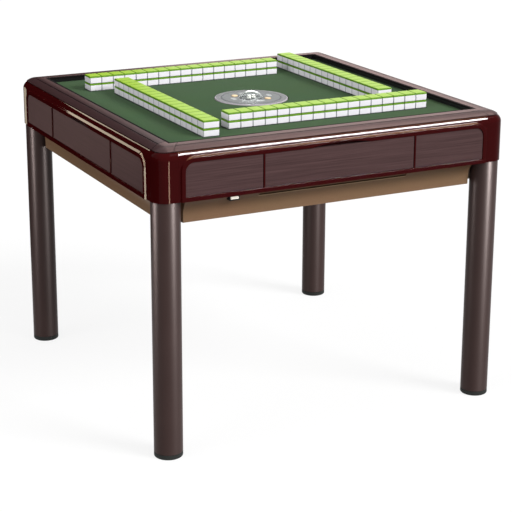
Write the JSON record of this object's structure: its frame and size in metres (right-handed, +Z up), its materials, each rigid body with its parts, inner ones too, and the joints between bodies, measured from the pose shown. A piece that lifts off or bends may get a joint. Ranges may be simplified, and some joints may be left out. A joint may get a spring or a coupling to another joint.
{
  "type": "automatic mahjong table with drawers",
  "caption": "Square game table on round legs with a felt top, padded rim, a drawer in each side, tile walls on lifts and a round dice console over a shuffling turntable.",
  "frame": {"origin": "on the floor under the centre of the table", "axes": "+Z up, the front with the power switch faces -Y, +X to the right of the front"},
  "size_m": [0.96, 0.96, 0.7857],
  "materials": {
    "frame_gloss": "deep maroon, high gloss",
    "rim_satin": "plum grey, satin",
    "panel_brushed": "plum brown, brushed along its length",
    "tub_bronze": "bronze tan, satin",
    "leg_paint": "dark bronze grey, satin paint",
    "foot_rubber": "black, matt",
    "steel": "bare, machined",
    "cloth": "grey green felt",
    "board": "raw fibreboard",
    "black_plastic": "black, matt",
    "tile": "white with a green back, polished",
    "inner_plastic": "dark grey moulding",
    "turntable": "dark grey moulding",
    "mechanism": "grey paint",
    "drive_rubber": "black, matt",
    "console_dark": "dark grey, gloss",
    "console_grey": "mid grey, satin",
    "lamp": "pale grey, translucent",
    "cream_button": "cream",
    "white_rocker": "white",
    "dice_plate": "dark green",
    "dice": "ivory white",
    "clear_dome": "clear, polished"
  },
  "bodies": {
    "chassis": {"apron_front": "frame_gloss", "apron_right": "frame_gloss", "apron_back": "frame_gloss", "apron_left": "frame_gloss", "corner_posts": "frame_gloss", "rim_rail_front": "rim_satin", "rim_rail_right": "rim_satin", "rim_rail_back": "rim_satin", "rim_rail_left": "rim_satin", "rim_corners": "rim_satin", "fixed_panels": "panel_brushed", "base_tub": "tub_bronze", "leg_front_left": "leg_paint", "leg_front_right": "leg_paint", "leg_back_right": "leg_paint", "leg_back_left": "leg_paint", "leg_feet": "foot_rubber", "leg_spigots": "steel", "leg_bolts": "steel", "centre_column": "steel", "lift_guides": "steel", "felt_cloth": "cloth", "play_board": "board", "rim_liners": "black_plastic", "switch_bezel": "black_plastic", "cord_gland": "black_plastic", "drawer_runners": "black_plastic", "tile_tracks": "inner_plastic", "lift_actuators": "mechanism", "drive_motor": "mechanism", "control_box": "mechanism"},
    "front_drawer": {"drawer_front_front": "panel_brushed", "drawer_tray_front": "inner_plastic"},
    "front_lift": {"lift_tray_front": "inner_plastic", "tiles_front": "tile"},
    "right_drawer": {"drawer_front_right": "panel_brushed", "drawer_tray_right": "inner_plastic"},
    "right_lift": {"lift_tray_right": "inner_plastic", "tiles_right": "tile"},
    "back_drawer": {"drawer_front_back": "panel_brushed", "drawer_tray_back": "inner_plastic"},
    "back_lift": {"lift_tray_back": "inner_plastic", "tiles_back": "tile"},
    "left_drawer": {"drawer_front_left": "panel_brushed", "drawer_tray_left": "inner_plastic"},
    "left_lift": {"lift_tray_left": "inner_plastic", "tiles_left": "tile"},
    "console": {"console_plate": "console_grey", "console_ring": "console_dark", "console_stem": "inner_plastic", "dice_dome": "clear_dome", "seat_lamps": "lamp"},
    "dice_spinner": {"dice_plate": "dice_plate", "dice": "dice"},
    "button_a": {"dice_button_a": "cream_button"},
    "button_b": {"dice_button_b": "cream_button"},
    "turntable": {"shuffle_turntable": "turntable"},
    "drive": {"drive_wheel": "drive_rubber"},
    "rocker": {"power_rocker": "white_rocker"}
  },
  "joints": [
    {"name": "front_drawer_slide", "type": "slide", "parent": "chassis", "child": "front_drawer", "axis": [0, -1, 0], "range_m": [0, 0.12]},
    {"name": "right_drawer_slide", "type": "slide", "parent": "chassis", "child": "right_drawer", "axis": [1, 0, 0], "range_m": [0, 0.12]},
    {"name": "back_drawer_slide", "type": "slide", "parent": "chassis", "child": "back_drawer", "axis": [0, 1, 0], "range_m": [0, 0.12]},
    {"name": "left_drawer_slide", "type": "slide", "parent": "chassis", "child": "left_drawer", "axis": [-1, 0, 0], "range_m": [0, 0.12]},
    {"name": "front_wall_lift", "type": "slide", "parent": "chassis", "child": "front_lift", "axis": [0, 0, 1], "range_m": [-0.062, 0]},
    {"name": "right_wall_lift", "type": "slide", "parent": "chassis", "child": "right_lift", "axis": [0, 0, 1], "range_m": [-0.062, 0]},
    {"name": "back_wall_lift", "type": "slide", "parent": "chassis", "child": "back_lift", "axis": [0, 0, 1], "range_m": [-0.062, 0]},
    {"name": "left_wall_lift", "type": "slide", "parent": "chassis", "child": "left_lift", "axis": [0, 0, 1], "range_m": [-0.062, 0]},
    {"name": "console_lift", "type": "slide", "parent": "chassis", "child": "console", "axis": [0, 0, 1], "range_m": [0, 0.05]},
    {"name": "dice_spin", "type": "hinge", "parent": "console", "child": "dice_spinner", "pos_m": [0, 0, 0.744], "axis": [0, 0, 1], "continuous": true},
    {"name": "dice_button_a_press", "type": "slide", "parent": "console", "child": "button_a", "axis": [0, 0, -1], "range_m": [0, 0.0015], "stiffness_N_per_m": 200, "springref_m": -0.001},
    {"name": "dice_button_b_press", "type": "slide", "parent": "console", "child": "button_b", "axis": [0, 0, -1], "range_m": [0, 0.0015], "stiffness_N_per_m": 200, "springref_m": -0.001},
    {"name": "turntable_spin", "type": "hinge", "parent": "chassis", "child": "turntable", "pos_m": [0, 0, 0.64], "axis": [0, 0, 1], "continuous": true},
    {"name": "drive_wheel_spin", "type": "hinge", "parent": "chassis", "child": "drive", "pos_m": [0.18194, 0.18194, 0.65], "axis": [0, 0, 1], "continuous": true},
    {"name": "rocker_tilt", "type": "hinge", "parent": "chassis", "child": "rocker", "pos_m": [-0.273, -0.457, 0.623], "axis": [0, 0, 1], "range_deg": [-7, 7]}
  ],
  "couplings": [
    {"joint": "drive_wheel_spin", "follows": "turntable_spin", "ratio": -9.28}
  ]
}
